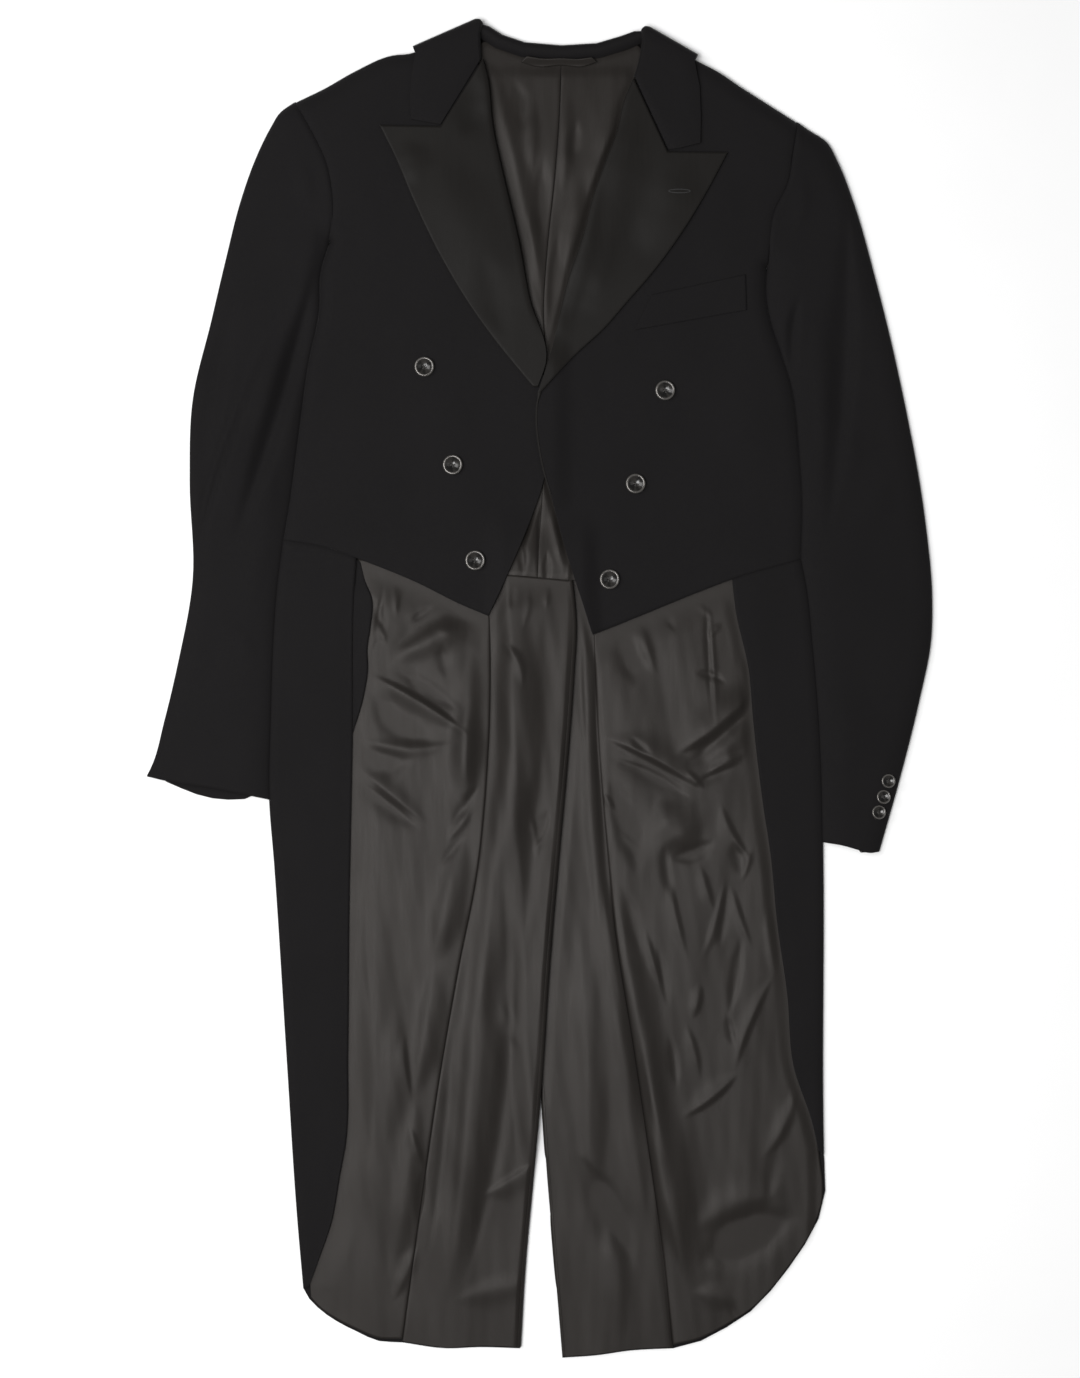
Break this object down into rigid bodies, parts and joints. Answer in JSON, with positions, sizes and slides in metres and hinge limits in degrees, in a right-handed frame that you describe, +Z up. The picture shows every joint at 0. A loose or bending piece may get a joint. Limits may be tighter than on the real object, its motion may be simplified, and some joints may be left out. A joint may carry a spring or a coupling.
{
  "type": "tailcoat",
  "caption": "Man's black evening tailcoat laid flat on its back with the front up: cutaway front, satin peak lapels, long lined tails.",
  "frame": {"origin": "middle of the coat's outline, on the flat surface that it lies on", "axes": "+X towards the wearer's left, +Y towards the collar, +Z up, out of the coat's front"},
  "size_m": [0.667, 1.1362, 0.0145],
  "materials": {
    "wool": "matt black wool barathea with a fine weave",
    "lapel_satin": "black silk satin with a soft sheen",
    "lining": "dark grey satin lining, lightly creased",
    "buttons": "glossy black, dished with a raised rim"
  },
  "bodies": {
    "root": {"back_L": "wool", "back_R": "wool", "back_lining_L": "lining", "back_lining_R": "lining", "breast_welt": "wool", "collar": "wool", "cuff_button_1": "buttons", "cuff_button_2": "buttons", "cuff_button_3": "buttons", "forepart_L": "wool", "forepart_R": "wool", "front_button_1": "buttons", "front_button_2": "buttons", "front_button_3": "buttons", "front_button_4": "buttons", "front_button_5": "buttons", "front_button_6": "buttons", "hanger_loop": "lining", "lapel_L": "lapel_satin", "lapel_R": "lapel_satin", "side_body_L": "wool", "side_body_R": "wool", "skirt_L": "wool", "skirt_R": "wool", "skirt_facing_R": "wool", "skirt_lining_L": "lining", "skirt_lining_R": "lining", "tail_lining_L": "lining", "tail_lining_R": "lining", "top_sleeve_L": "wool", "top_sleeve_R": "wool", "under_sleeve_L": "wool", "under_sleeve_R": "wool"}
  },
  "joints": []
}
